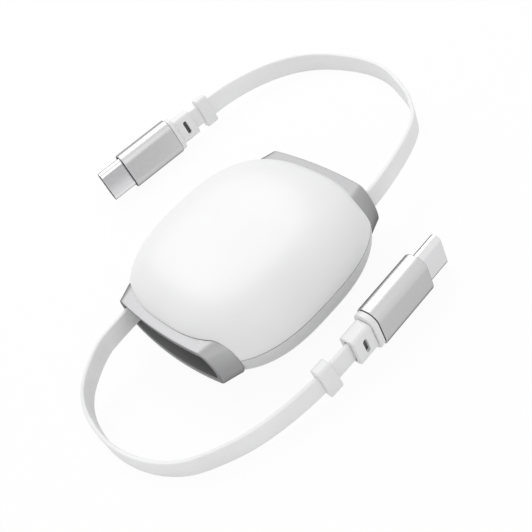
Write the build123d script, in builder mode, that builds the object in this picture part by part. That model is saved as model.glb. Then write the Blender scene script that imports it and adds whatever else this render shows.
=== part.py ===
from build123d import *
from math import atan2, cos, degrees, pi, radians, sin, sqrt, tan
import os

# Retractable charging cable: a pillow-shaped reel housing, a flat cable out of
# each of its two mouths, and a plug on the end of each cable.
# Millimetres. X runs from mouth to mouth, the housing rests on Z = 0.

# housing
body_length = 50.0
body_width = 47.4
top_height = 10.1
bottom_depth = 10.1
plan_power = 2.73
top_flatness = 4.8
top_roundness = 1.64
bottom_flatness = 4.1
bottom_roundness = 2.02
shell_wall = 1.6
parting_gap = 0.2
lip_height = 1.0
lip_clearance = 0.08
lip_inset = shell_wall + 0.2
foot_depth = 0.2

# mouths
mouth_height_z = 9.7
rim_width = 31.3
rim_height = 9.8
rim_top_share = 0.85
rim_side_bulge = 1.05
rim_foot_bulge = 0.5
rim_foot_tuck = 0.25
rim_top_corner = 2.0
rim_foot_corner = 1.6
rim_least_corner = 0.3
rim_reach = 25.4
rim_bow = 1.2
trim_root_width = 35.0
trim_root_height = 10.4
trim_wall = 0.5
trim_gap = 0.12
cut_behind = 3.0
cut_beyond = 2.0
liner_wall = 0.8
liner_setback = 0.15
liner_back_wall = 0.9
seat_clearance = 0.05

# flat cable
strip_width = 5.0
strip_thickness = 1.0
strip_corner = 0.35
cable_offset_y = 13.1
slit_clearance = 0.35
post_radius = 0.9
post_advance = 3.2
post_gap = 0.25

# reel
running_clearance = 0.3
bearing_clearance = 0.05
flange_radius = 17.2
reel_room = 1.0
flange_thickness = 1.0
hub_radius = 7.4
hub_wall = 1.0
coil_clearance = 0.1
axle_radius = 1.5
axle_foot = 2.6
axle_top_z = 17.4
boss_radius = 3.6
collar_radius = 3.2
collar_height = 2.1
spring_strip = 0.3
spring_height = 4.4
spring_turns = 5.0
ratchet_teeth = 12
ratchet_tip_radius = 10.5
ratchet_root_radius = 9.3
ratchet_bore_radius = 7.9
ratchet_height = 1.4

# ratchet pawl
pawl_pivot = (4.2, 13.6)
pawl_pin_radius = 0.8
spring_post_at = (-0.6, -3.1)
spring_post_radius = 0.9
tooth_lead = 1.5
pawl_eye_radius = 1.8
pawl_arm_length = 9.0
pawl_arm_width = 1.7
pawl_thickness = 1.0
pawl_tip_gap = 0.35
leaf_thickness = 0.25
leaf_middle = 4.0
leaf_sag = 0.4
leaf_end_setback = 2.4
pawl_nose_length = 2.2

# screws
screw_radius = 0.8
screw_head_radius = 1.5
screw_head_height = 1.0
screw_boss_radius = 2.3
screw_x = 13.7
screw_y = 16.3
screw_seat_z = 4.4
screw_length = 9.0
recess_length = 1.6
recess_width = 0.4

# plugs
tip_width = 8.34
tip_thickness = 2.56
tip_length = 6.65
tip_wall = 0.25
tip_anchor = 4.0
contact_count = 12
contact_pitch = 0.5
contact_width = 0.26
contact_thickness = 0.12
contact_length = 4.2
tongue_slot_width = 6.9
tongue_slot_height = 0.9
sleeve_width = 9.8
sleeve_thickness = 5.7
sleeve_corner = 2.5
sleeve_length = 15.5
sleeve_wall = 0.45
core_setback = 0.4
board_length = 7.5
board_thickness = 0.8
ring_length = 1.4
ring_inset = 0.25
neck_length = 5.3
neck_width = 6.9
neck_thickness = 3.9
neck_corner = 1.0
window_length = 3.6
window_width = 1.1
crimp_depth = 1.2
crimp_length = 3.0
neck_cover = neck_length - crimp_depth
neck_lead = 1.9
crimp_width = 5.8
crimp_thickness = 2.4
band_width = 8.0
band_thickness = 3.0
band_length = 3.4
band_corner = 1.0

# places of the two plugs: centre of the sleeve's front face, heading, roll
near_plug_at = (17.4, -31.4)
near_plug_heading = 1.3
near_plug_roll = 88.0
near_band_gap = 5.2
far_plug_at = (7.6, 58.0)
far_plug_heading = 173.0
far_plug_roll = 75.0
far_band_gap = 3.0

floor_gap = 0.1
half_strip = strip_width / 2
lying_z = half_strip + floor_gap
exit_z = mouth_height_z
parting_z = bottom_depth
trim_root_reach = flange_radius + reel_room
mouth_cut_end = max(rim_reach, body_length / 2) + cut_beyond

# routes of the strip's centre line, from the reel to the plug's neck
near_route = [
    (-1.0, 12.9, exit_z),
    (-14.5, 13.15, exit_z),
    (-29.0, 12.9, exit_z - 0.1),
    (-34.8, 13.5, 8.0),
    (-44.4, 9.9, 4.6),
    (-47.6, -1.3, lying_z),
    (-46.2, -11.5, lying_z),
    (-42.0, -19.3, lying_z),
    (-36.3, -23.5, lying_z),
    (-28.3, -28.0, 3.1),
    (-16.2, -31.3, 4.2),
]
far_route = [
    (1.0, -12.9, exit_z),
    (14.5, -13.15, exit_z),
    (28.5, -13.3, exit_z + 0.1),
    (48.3, -7.3, 7.8),
    (56.5, 1.3, 4.6),
    (61.1, 7.1, 2.8),
    (67.6, 20.7, lying_z),
    (65.2, 38.3, lying_z),
    (57.7, 48.5, 3.2),
    (44.6, 54.1, 4.3),
]
near_twist = 38.0
far_twist = 44.0
twist_steps = 12
end_steps = 6

os.makedirs("parts", exist_ok=True)
pieces = []


def finish(piece, label):
    """Name one finished piece and write it."""
    piece.label = label
    export_step(piece, f"parts/{label}.step")
    pieces.append(piece)


# heights of the reel, all from the strip's own level
lower_flange_top = exit_z - half_strip - running_clearance
upper_flange_base = exit_z + half_strip + running_clearance
lower_flange_base = lower_flange_top - flange_thickness
upper_flange_top = upper_flange_base + flange_thickness
spring_bore_radius = hub_radius - hub_wall
coil_outer_radius = cable_offset_y - strip_thickness / 2 - running_clearance - 0.3
axle_bore_radius = axle_radius + bearing_clearance
collar_top = upper_flange_top + collar_height
pawl_base_z = upper_flange_top + running_clearance
pin_top_z = axle_top_z - 0.6

# share of the outline at which the bottom meets the floor
foot_rise = (bottom_depth - parting_gap / 2) / (bottom_depth - parting_gap / 2 + foot_depth)
foot_share = (1 - foot_rise**bottom_roundness) ** (1 / bottom_flatness)


def plan_outline(half_length, half_width):
    """Closed pillow outline, a superellipse, as one smooth edge."""
    steps = 24
    points = []
    for i in range(steps):
        angle = 2 * pi * i / steps
        c, s = cos(angle), sin(angle)
        reach = (abs(c) ** plan_power + abs(s) ** plan_power) ** (-1 / plan_power)
        points.append((half_length * reach * c, half_width * reach * s))
    Spline(*points, periodic=True)


def dome(start_z, height, flatness, roundness, inset=0.0, crown_share=0.2):
    """Loft the pillow's outline from its widest level to its flat crown."""
    levels = []
    middle = (0.6 + crown_share) / 2
    for share in (1.0, 0.985, 0.95, 0.88, 0.77, 0.6, middle, crown_share):
        rise = (1 - share**flatness) ** (1 / roundness)
        with BuildSketch(Plane.XY.offset(start_z + height * rise)) as level:
            with BuildLine():
                plan_outline(
                    share * (body_length / 2 - inset), share * (body_width / 2 - inset)
                )
            make_face()
        levels.append(level.sketch)
    loft(levels)


def mouth_form(side, grow, start, end, mode=Mode.ADD):
    """The mouth tube: level top, bulging sides and foot, grown by an even amount."""
    span = rim_reach - trim_root_reach
    ends = []
    for reach in (start, end):
        share = (reach - trim_root_reach) / span
        width = trim_root_width + share * (rim_width - trim_root_width)
        height = trim_root_height + share * (rim_height - trim_root_height)
        half_top = rim_top_share * width / 2 + grow / 2
        half_foot = width / 2 - rim_foot_tuck + grow
        half_middle = (half_top + half_foot) / 2 + rim_side_bulge
        top = mouth_height_z + height / 2 + grow
        foot = mouth_height_z - height / 2 - grow
        with BuildSketch(Plane.YZ.offset(side * reach)) as section:
            with BuildLine():
                Line((-half_top, top), (half_top, top))
                ThreePointArc(
                    (half_top, top), (half_middle, mouth_height_z), (half_foot, foot)
                )
                ThreePointArc(
                    (half_foot, foot), (0, foot - rim_foot_bulge), (-half_foot, foot)
                )
                ThreePointArc(
                    (-half_foot, foot), (-half_middle, mouth_height_z), (-half_top, top)
                )
            make_face()
            corners = section.vertices().group_by(Axis.Z)
            fillet(corners[-1], max(rim_top_corner + grow, rim_least_corner))
            fillet(corners[0], max(rim_foot_corner + grow, rim_least_corner))
        ends.append(section.sketch)
    loft(ends, mode=mode)


def bow_cut(side, reach):
    """Keep what lies inside the rim's shallow bow."""
    bow_radius = rim_width**2 / (8 * rim_bow) + rim_bow / 2
    with BuildSketch(Plane.XY) as bow:
        with Locations((side * (reach - bow_radius), 0)):
            Circle(bow_radius)
    extrude(bow.sketch, amount=parting_z + top_height, mode=Mode.INTERSECT)


screw_places = [(x, y) for x in (-screw_x, screw_x) for y in (-screw_y, screw_y)]

# the pawl points from its pivot to a place just outside the teeth, so that a
# tooth turning back pushes it straight against its pin
pivot_distance = sqrt(pawl_pivot[0] ** 2 + pawl_pivot[1] ** 2)
tip_distance = ratchet_tip_radius + pawl_tip_gap
reach_cosine = (pivot_distance**2 + pawl_arm_length**2 - tip_distance**2) / (
    2 * pivot_distance * pawl_arm_length
)
toward_centre = degrees(atan2(-pawl_pivot[1], -pawl_pivot[0]))
pawl_angle = toward_centre - degrees(atan2(sqrt(1 - reach_cosine**2), reach_cosine))
pawl_plane = Plane(
    origin=(pawl_pivot[0], pawl_pivot[1], pawl_base_z),
    x_dir=(cos(radians(pawl_angle)), sin(radians(pawl_angle)), 0),
    z_dir=(0, 0, 1),
)
pawl_tip = pawl_plane.from_local_coords((pawl_arm_length, 0, 0))
tip_bearing = degrees(atan2(pawl_tip.Y, pawl_tip.X))
spring_post = pawl_plane.from_local_coords((*spring_post_at, 0))
spring_post_place = (spring_post.X, spring_post.Y)

# hollow of the top shell, with its posts left standing
with BuildPart() as top_hollow:
    dome(parting_z, top_height - shell_wall, top_flatness, top_roundness, shell_wall)
    with BuildSketch(Plane.XY.offset(collar_top + running_clearance)):
        Circle(boss_radius)
    extrude(amount=top_height, mode=Mode.SUBTRACT)
    with BuildSketch(Plane.XY.offset(pawl_base_z + pawl_thickness + running_clearance)):
        with Locations(pawl_pivot):
            Circle(pawl_eye_radius)
    extrude(amount=top_height, mode=Mode.SUBTRACT)
    with BuildSketch(Plane.XY.offset(pawl_base_z)):
        with Locations(spring_post_place):
            Circle(spring_post_radius)
    extrude(amount=top_height, mode=Mode.SUBTRACT)
    with BuildSketch(Plane.XY.offset(parting_z)):
        with Locations(*screw_places):
            Circle(screw_boss_radius)
    extrude(amount=top_height, mode=Mode.SUBTRACT)

with BuildPart() as top_shell:
    dome(
        parting_z + parting_gap / 2,
        top_height - parting_gap / 2,
        top_flatness,
        top_roundness,
    )
    add(top_hollow.part, mode=Mode.SUBTRACT)
    rebate = shell_wall / 2 - lip_clearance
    with BuildSketch(Plane.XY.offset(parting_z)):
        with BuildLine():
            plan_outline(body_length / 2 - rebate, body_width / 2 - rebate)
        make_face()
        with Locations(*screw_places):
            Circle(screw_boss_radius, mode=Mode.SUBTRACT)
    extrude(amount=lip_height + lip_clearance, mode=Mode.SUBTRACT)
    with BuildSketch(Plane.XY.offset(parting_z)):
        with Locations(*screw_places):
            Circle(screw_radius)
    extrude(amount=screw_seat_z + screw_length - parting_z + 0.4, mode=Mode.SUBTRACT)
    with BuildSketch(Plane.XY.offset(collar_top)):
        Circle(axle_radius)
    extrude(amount=axle_top_z - collar_top, mode=Mode.SUBTRACT)
    with BuildSketch(Plane.XY.offset(pawl_base_z)):
        with Locations(pawl_pivot):
            Circle(pawl_pin_radius)
    extrude(amount=pin_top_z - pawl_base_z, mode=Mode.SUBTRACT)
    for side in (-1, 1):
        mouth_form(
            side,
            trim_gap,
            trim_root_reach - cut_behind,
            mouth_cut_end,
            Mode.SUBTRACT,
        )
finish(top_shell.part, "top_shell")

with BuildPart() as bottom_hollow:
    dome(
        parting_z,
        shell_wall - bottom_depth,
        bottom_flatness,
        bottom_roundness,
        shell_wall,
    )
    with BuildSketch(Plane.XY):
        Circle(boss_radius)
    extrude(amount=lower_flange_base - running_clearance, mode=Mode.SUBTRACT)
    with BuildSketch(Plane.XY):
        with Locations(*screw_places):
            Circle(screw_boss_radius)
    extrude(amount=parting_z, mode=Mode.SUBTRACT)

with BuildPart() as bottom_shell:
    dome(
        parting_z - parting_gap / 2,
        parting_gap / 2 - bottom_depth - foot_depth,
        bottom_flatness,
        bottom_roundness,
        crown_share=foot_share,
    )
    add(bottom_hollow.part, mode=Mode.SUBTRACT)
    with BuildSketch(Plane.XY.offset(parting_z - lip_height)):
        with BuildLine():
            plan_outline(
                body_length / 2 - shell_wall / 2, body_width / 2 - shell_wall / 2
            )
        make_face()
        with BuildLine():
            plan_outline(body_length / 2 - lip_inset, body_width / 2 - lip_inset)
        make_face(mode=Mode.SUBTRACT)
    extrude(amount=2 * lip_height)
    with BuildSketch(Plane.XY.offset(parting_z - parting_gap / 2)):
        with Locations(*screw_places):
            Circle(screw_boss_radius + lip_clearance)
    extrude(amount=lip_height + parting_gap, mode=Mode.SUBTRACT)
    with BuildSketch(Plane.XY):
        with Locations(*screw_places):
            Circle(screw_radius + 2 * seat_clearance)
    extrude(amount=parting_z, mode=Mode.SUBTRACT)
    with BuildSketch(Plane.XY):
        with Locations(*screw_places):
            Circle(screw_head_radius + 3 * seat_clearance)
    extrude(amount=screw_seat_z, mode=Mode.SUBTRACT)
    with BuildSketch(Plane.XY.offset(axle_foot)):
        Circle(axle_radius)
    extrude(amount=bottom_depth, mode=Mode.SUBTRACT)
    for side in (-1, 1):
        mouth_form(
            side,
            trim_gap,
            trim_root_reach - cut_behind,
            mouth_cut_end,
            Mode.SUBTRACT,
        )
finish(bottom_shell.part, "bottom_shell")

with BuildPart() as housing_screws:
    with BuildSketch(Plane.XY.offset(screw_seat_z)):
        with Locations(*screw_places):
            Circle(screw_radius)
    extrude(amount=screw_length)
    with BuildSketch(Plane.XY.offset(screw_seat_z - screw_head_height)):
        with Locations(*screw_places):
            Circle(screw_head_radius)
    extrude(amount=screw_head_height)
    with BuildSketch(Plane.XY.offset(screw_seat_z - screw_head_height)):
        with Locations(*screw_places):
            Rectangle(recess_length, recess_width)
            Rectangle(recess_width, recess_length)
    extrude(amount=screw_head_height / 2, mode=Mode.SUBTRACT)
finish(housing_screws.part, "housing_screws")

for side, end_name in ((-1, "near"), (1, "far")):
    cable_y = -side * cable_offset_y

    with BuildPart() as mouth_trim:
        mouth_form(side, 0, trim_root_reach, rim_reach + 1)
        mouth_form(side, -trim_wall, trim_root_reach, rim_reach + 1, Mode.SUBTRACT)
        bow_cut(side, rim_reach)
    finish(mouth_trim.part, f"mouth_trim_{end_name}")

    with BuildPart() as mouth_liner:
        liner_face = -trim_wall - seat_clearance
        back_reach = trim_root_reach + 0.3
        mouth_form(side, liner_face, back_reach, rim_reach + 1)
        mouth_form(
            side,
            liner_face - liner_wall,
            back_reach + liner_back_wall,
            rim_reach + 1,
            Mode.SUBTRACT,
        )
        bow_cut(side, rim_reach - liner_setback)
        with BuildSketch(Plane.YZ.offset(side * back_reach)):
            with Locations((cable_y, mouth_height_z)):
                RectangleRounded(
                    strip_thickness + 2 * slit_clearance,
                    strip_width + 2 * slit_clearance,
                    strip_corner,
                )
        extrude(amount=side * liner_back_wall, mode=Mode.SUBTRACT)
    finish(mouth_liner.part, f"mouth_liner_{end_name}")

    post_reach = trim_root_reach + post_advance
    post_share = (post_reach - trim_root_reach) / (rim_reach - trim_root_reach)
    post_room = trim_root_height + post_share * (rim_height - trim_root_height)
    post_length = post_room - 2 * (trim_wall + liner_wall + 2 * seat_clearance)
    post_shift = strip_thickness / 2 + post_gap + post_radius
    with BuildPart() as guide_post:
        with BuildSketch(Plane.XY.offset(mouth_height_z - post_length / 2)):
            with Locations((side * post_reach, cable_y + side * post_shift)):
                Circle(post_radius)
        extrude(amount=post_length)
    finish(guide_post.part, f"guide_post_{end_name}")

with BuildPart() as reel_axle:
    with BuildSketch(Plane.XY.offset(axle_foot)):
        Circle(axle_radius)
    extrude(amount=axle_top_z - axle_foot)
    chamfer(reel_axle.edges().filter_by(GeomType.CIRCLE), 0.3)
finish(reel_axle.part, "reel_axle")

with BuildPart() as spool:
    with BuildSketch(Plane.XZ):
        with BuildLine():
            Polyline(
                (axle_bore_radius, upper_flange_base),
                (spring_bore_radius, upper_flange_base),
                (spring_bore_radius, lower_flange_base),
                (flange_radius, lower_flange_base),
                (flange_radius, lower_flange_top),
                (hub_radius, lower_flange_top),
                (hub_radius, upper_flange_base),
                (flange_radius, upper_flange_base),
                (flange_radius, upper_flange_top),
                (collar_radius, upper_flange_top),
                (collar_radius, collar_top),
                (axle_bore_radius, collar_top),
                close=True,
            )
        make_face()
    revolve(axis=Axis.Z)
    with BuildSketch(Plane.XY.offset(upper_flange_top)):
        with BuildLine():
            tooth_points = []
            for tooth in range(ratchet_teeth):
                start = radians(tip_bearing + tooth_lead) + 2 * pi * tooth / ratchet_teeth
                end = start + 2 * pi / ratchet_teeth * 0.98
                for radius, angle in (
                    (ratchet_tip_radius, start),
                    (ratchet_root_radius, end),
                ):
                    tooth_points.append((radius * cos(angle), radius * sin(angle)))
            Polyline(*tooth_points, close=True)
        make_face()
        Circle(ratchet_bore_radius, mode=Mode.SUBTRACT)
    extrude(amount=ratchet_height)
finish(spool.part, "spool")

with BuildPart() as spring_cover:
    with BuildSketch(Plane.XY.offset(lower_flange_base)):
        Circle(spring_bore_radius - seat_clearance)
        Circle(axle_bore_radius, mode=Mode.SUBTRACT)
    extrude(amount=0.8)
finish(spring_cover.part, "spring_cover")

with BuildPart() as wound_cable:
    with BuildSketch(Plane.XY.offset(exit_z - half_strip)):
        Circle(coil_outer_radius)
        Circle(hub_radius + coil_clearance, mode=Mode.SUBTRACT)
    extrude(amount=strip_width)
finish(wound_cable.part, "wound_cable")

with BuildPart() as power_spring:
    inner_turn = axle_radius + 0.1
    outer_turn = spring_bore_radius - 0.1 - spring_strip
    steps = int(spring_turns * 12)
    inner_side = []
    outer_side = []
    for i in range(steps + 1):
        share = i / steps
        angle = 2 * pi * spring_turns * share
        radius = inner_turn + (outer_turn - inner_turn) * share
        inner_side.append((radius * cos(angle), radius * sin(angle)))
        outer_radius = radius + spring_strip
        outer_side.append((outer_radius * cos(angle), outer_radius * sin(angle)))
    with BuildSketch(Plane.XY.offset(lower_flange_base + 0.9)):
        with BuildLine():
            inner_curve = Spline(*inner_side)
            outer_curve = Spline(*outer_side)
            Line(inner_curve @ 0, outer_curve @ 0)
            Line(inner_curve @ 1, outer_curve @ 1)
        make_face()
    extrude(amount=spring_height)
finish(power_spring.part, "power_spring")

with BuildPart() as ratchet_pawl:
    with BuildSketch(pawl_plane):
        Circle(pawl_eye_radius)
        with BuildLine():
            Polyline(
                (0, -pawl_arm_width),
                (pawl_arm_length - 0.3, -pawl_arm_width * 0.9),
                (pawl_arm_length, 0),
                (pawl_arm_length - pawl_nose_length, -pawl_arm_width * 0.2),
                (0, pawl_arm_width * 0.35),
                close=True,
            )
        make_face()
        Circle(pawl_pin_radius + bearing_clearance, mode=Mode.SUBTRACT)
    extrude(amount=pawl_thickness)
finish(ratchet_pawl.part, "ratchet_pawl")

with BuildPart() as pawl_pin:
    with BuildSketch(Plane.XY.offset(pawl_base_z)):
        with Locations(pawl_pivot):
            Circle(pawl_pin_radius)
    extrude(amount=pin_top_z - pawl_base_z)
finish(pawl_pin.part, "pawl_pin")

# leaf spring, from its post on the top shell to the pawl's outer side
with BuildPart() as pawl_spring:
    with BuildSketch(pawl_plane.offset(0.1)):
        with BuildLine():
            ThreePointArc(
                (spring_post_at[0] + spring_post_radius + 0.18, spring_post_at[1]),
                (leaf_middle, spring_post_at[1] + leaf_sag),
                (pawl_arm_length - leaf_end_setback, -pawl_arm_width - leaf_thickness),
            )
            offset(amount=leaf_thickness / 2, side=Side.BOTH)
        make_face()
    extrude(amount=pawl_thickness - 0.2)
finish(pawl_spring.part, "pawl_spring")


def rest_height(width, thickness, corner, roll):
    """Height of a rounded bar's axis when it lies rolled on the floor."""
    lean = radians(roll)
    return (
        (width / 2 - corner) * abs(sin(lean))
        + (thickness / 2 - corner) * abs(cos(lean))
        + corner
    )


def plug_plane(at, heading, roll, distance):
    """Plane across a plug, at a distance ahead of the sleeve's front face."""
    head = radians(heading)
    lean = radians(roll)
    forward = Vector(cos(head), sin(head), 0)
    across = Vector(sin(head), -cos(head), 0)
    if across.Y > 0:
        across = across * -1
    height = rest_height(sleeve_width, sleeve_thickness, sleeve_corner, roll)
    width_way = across * cos(lean) + Vector(0, 0, -sin(lean))
    origin = Vector(at[0], at[1], height) + forward * distance
    return Plane(origin=origin, x_dir=width_way, z_dir=forward)


def bar(plane, width, thickness, corner, length, mode=Mode.ADD):
    """A rounded bar that runs back from a plane."""
    with BuildSketch(plane) as section:
        RectangleRounded(width, thickness, min(corner, 0.499 * thickness))
    extrude(section.sketch, amount=-length, mode=mode)


def make_plug(end_name, at, heading, roll):
    def across(distance):
        return plug_plane(at, heading, roll, distance)

    core_width = sleeve_width - 2 * sleeve_wall - 2 * seat_clearance
    core_thickness = sleeve_thickness - 2 * sleeve_wall - 2 * seat_clearance
    core_corner = sleeve_corner - sleeve_wall
    neck_start = -sleeve_length
    neck_end = neck_start - ring_length - neck_length

    with BuildPart() as plug_tip:
        bar(across(tip_length), tip_width, tip_thickness, tip_thickness / 2,
            tip_length + tip_anchor)
        bar(across(tip_length), tip_width - 2 * tip_wall, tip_thickness - 2 * tip_wall,
            tip_thickness / 2 - tip_wall, tip_length + tip_anchor, Mode.SUBTRACT)
    finish(plug_tip.part, f"plug_tip_{end_name}")

    insert_width = tip_width - 2 * tip_wall - 2 * seat_clearance
    insert_thickness = tip_thickness - 2 * tip_wall - 2 * seat_clearance
    with BuildPart() as plug_insert:
        bar(across(tip_length - 0.4), insert_width, insert_thickness,
            insert_thickness / 2, tip_length - 0.4 + tip_anchor)
        bar(across(tip_length - 0.4), tongue_slot_width, tongue_slot_height,
            0.2, tip_length - 0.8, Mode.SUBTRACT)
    finish(plug_insert.part, f"plug_insert_{end_name}")

    with BuildPart() as plug_contacts:
        contact_shift = tongue_slot_height / 2 - contact_thickness / 2
        with BuildSketch(across(tip_length - 0.9)):
            with GridLocations(contact_pitch, 2 * contact_shift, contact_count, 2):
                Rectangle(contact_width, contact_thickness)
        extrude(amount=-contact_length)
    finish(plug_contacts.part, f"plug_contacts_{end_name}")

    with BuildPart() as plug_sleeve:
        bar(across(0), sleeve_width, sleeve_thickness, sleeve_corner, sleeve_length)
        bar(across(0), sleeve_width - 2 * sleeve_wall,
            sleeve_thickness - 2 * sleeve_wall, core_corner, sleeve_length,
            Mode.SUBTRACT)
    finish(plug_sleeve.part, f"plug_sleeve_{end_name}")

    board_start = -tip_anchor - seat_clearance
    with BuildPart() as plug_core:
        bar(across(-core_setback), core_width, core_thickness, core_corner,
            sleeve_length - core_setback)
        bar(across(-core_setback), tip_width + 2 * seat_clearance,
            tip_thickness + 2 * seat_clearance, tip_thickness / 2 + seat_clearance,
            tip_anchor - core_setback + seat_clearance, Mode.SUBTRACT)
        bar(across(board_start), core_width - 1.6, board_thickness + 2 * seat_clearance,
            0.1, board_length + seat_clearance, Mode.SUBTRACT)
    finish(plug_core.part, f"plug_core_{end_name}")

    with BuildPart() as plug_board:
        bar(across(board_start), core_width - 1.6 - 2 * seat_clearance,
            board_thickness, 0.1, board_length)
    finish(plug_board.part, f"plug_board_{end_name}")

    crimp_start = neck_start - ring_length - crimp_depth
    with BuildPart() as plug_neck:
        bar(across(neck_start), sleeve_width - 2 * ring_inset,
            sleeve_thickness - 2 * ring_inset, sleeve_corner - ring_inset, ring_length)
        bar(across(neck_start - ring_length), neck_width, neck_thickness, neck_corner,
            neck_length)
        bar(across(crimp_start), crimp_width + 2 * seat_clearance,
            crimp_thickness + 2 * seat_clearance, 0.5,
            crimp_length + 2 * seat_clearance, Mode.SUBTRACT)
        bar(across(crimp_start), strip_width + 2 * slit_clearance,
            strip_thickness + 2 * slit_clearance, strip_corner, neck_length,
            Mode.SUBTRACT)
        window_plane = across(crimp_start - crimp_length / 2)
        upward = window_plane.y_dir
        if upward.Z < 0:
            upward = upward * -1
        with BuildSketch(Plane(window_plane.origin, x_dir=window_plane.x_dir,
                               z_dir=upward)):
            SlotOverall(window_length, window_width)
        extrude(amount=sleeve_thickness, mode=Mode.SUBTRACT)
    finish(plug_neck.part, f"plug_neck_{end_name}")

    with BuildPart() as cable_crimp:
        bar(across(crimp_start - seat_clearance), crimp_width, crimp_thickness, 0.5,
            crimp_length)
        bar(across(crimp_start - seat_clearance), strip_width + 2 * seat_clearance,
            strip_thickness + 2 * seat_clearance, strip_corner, crimp_length,
            Mode.SUBTRACT)
    finish(cable_crimp.part, f"cable_crimp_{end_name}")
    return across(crimp_start).origin, across(neck_end - neck_lead).origin


def make_cable(end_name, route, root, leaving, roll, band_gap, twist_length):
    """Flat strip that stands on its edge and leans over on its way to the plug."""
    points = [Vector(*p) for p in route] + [leaving, root]
    radii = []
    for before, corner, after in zip(points, points[1:], points[2:]):
        turn = (corner - before).get_angle(after - corner)
        shorter = min((corner - before).length, (after - corner).length)
        radii.append(0.45 * shorter / tan(radians(turn) / 2))
    print(end_name, "cable radii", [round(r, 1) for r in radii])
    with BuildLine() as path:
        FilletPolyline(*points, radius=radii)
    wire = path.wires()[0]
    band_start = wire.length - neck_cover - band_gap
    twist_end = band_start - band_length - 0.4
    twist_start = twist_end - twist_length

    def section_plane(distance, lean, level=True):
        """Plane across the strip; lean 0 stands it up, 90 degrees lays it flat."""
        along = wire % (distance / wire.length)
        if level:
            along = Vector(along.X, along.Y, 0).normalized()
        side_way = along.cross(Vector(0, 0, 1)).normalized()
        if side_way.Y < 0:
            side_way = side_way * -1
        top_way = side_way.cross(along)
        if top_way.Z < 0:
            top_way = top_way * -1
        width_way = side_way * sin(lean) + top_way * cos(lean)
        return Plane(
            origin=wire @ (distance / wire.length), x_dir=width_way * -1, z_dir=along
        )

    def section(distance, lean):
        with BuildSketch(section_plane(distance, lean)) as outline:
            RectangleRounded(strip_width, strip_thickness, strip_corner)
        return outline.sketch

    final_lean = radians(90 - roll)
    twisted = []
    for i in range(twist_steps + 1):
        share = i / twist_steps
        twisted.append(section(twist_start + twist_length * share, final_lean * share))
    for i in range(1, end_steps + 1):
        reach = twist_end + (wire.length - twist_end) * i / end_steps
        twisted.append(section(reach, final_lean))
    upright_path = wire.trim(0, twist_start / wire.length)
    with BuildPart() as cable:
        sweep(
            section(0, 0),
            path=upright_path,
            binormal=upright_path.translate((0, 0, strip_width)),
        )
        loft(twisted, ruled=True)
    strip_area = strip_width * strip_thickness - (4 - pi) * strip_corner**2
    print(end_name, "cable volume", round(cable.part.volume, 1),
          "section by length", round(strip_area * wire.length, 1),
          "length", round(wire.length, 1))
    finish(cable.part, f"cable_{end_name}")

    band_plane = section_plane(band_start, final_lean, level=False)
    with BuildPart() as stop_band:
        bar(band_plane, band_width, band_thickness, band_corner, band_length)
        bar(band_plane, strip_width + 4 * seat_clearance,
            strip_thickness + 4 * seat_clearance, strip_corner, band_length,
            Mode.SUBTRACT)
    finish(stop_band.part, f"stop_band_{end_name}")


near_ends = make_plug("near", near_plug_at, near_plug_heading, near_plug_roll)
far_ends = make_plug("far", far_plug_at, far_plug_heading, far_plug_roll)
make_cable("near", near_route, *near_ends, near_plug_roll, near_band_gap, near_twist)
make_cable("far", far_route, *far_ends, far_plug_roll, far_band_gap, far_twist)

print("pieces", len(pieces))
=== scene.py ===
import math

import bmesh
import bpy
from mathutils import Matrix, Vector


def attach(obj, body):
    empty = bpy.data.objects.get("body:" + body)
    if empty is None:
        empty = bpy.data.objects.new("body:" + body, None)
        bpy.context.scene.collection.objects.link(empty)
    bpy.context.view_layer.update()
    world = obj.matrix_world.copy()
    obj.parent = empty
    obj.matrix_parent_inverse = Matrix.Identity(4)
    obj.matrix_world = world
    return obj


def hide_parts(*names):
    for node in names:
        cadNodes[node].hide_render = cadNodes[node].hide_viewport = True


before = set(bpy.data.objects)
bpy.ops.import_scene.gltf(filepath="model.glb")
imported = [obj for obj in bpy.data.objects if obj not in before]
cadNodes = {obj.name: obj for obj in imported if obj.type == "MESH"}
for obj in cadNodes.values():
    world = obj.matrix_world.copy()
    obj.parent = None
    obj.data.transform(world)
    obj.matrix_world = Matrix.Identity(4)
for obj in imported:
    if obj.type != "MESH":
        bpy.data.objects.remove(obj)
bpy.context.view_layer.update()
mm = 0.001
print("frame loaded,", len(cadNodes), "nodes")


# camera, fitted to the photograph
cameraSetup = {
    "place": (-57.705, -126.236, 140.740),
    "right": (0.66265, -0.67299, -0.32860),
    "up": (0.68183, 0.36060, 0.63645),
    "back": (-0.30983, -0.64579, 0.69782),
    "lens": 60.99,
    "sensor": 36,
    "clipStart": 0.01,
}


def addCamera(setup):
    cameraData = bpy.data.cameras.new("photoCamera")
    cameraData.lens = setup["lens"]
    cameraData.sensor_width = setup["sensor"]
    cameraData.clip_start = setup["clipStart"]
    camera = bpy.data.objects.new("photoCamera", cameraData)
    bpy.context.scene.collection.objects.link(camera)
    columns = (setup["right"], setup["up"], setup["back"])
    turn = Matrix(columns).transposed().to_4x4()
    camera.matrix_world = Matrix.Translation(Vector(setup["place"]) * mm) @ turn
    bpy.context.scene.camera = camera


addCamera(cameraSetup)
print("camera placed")


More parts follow.
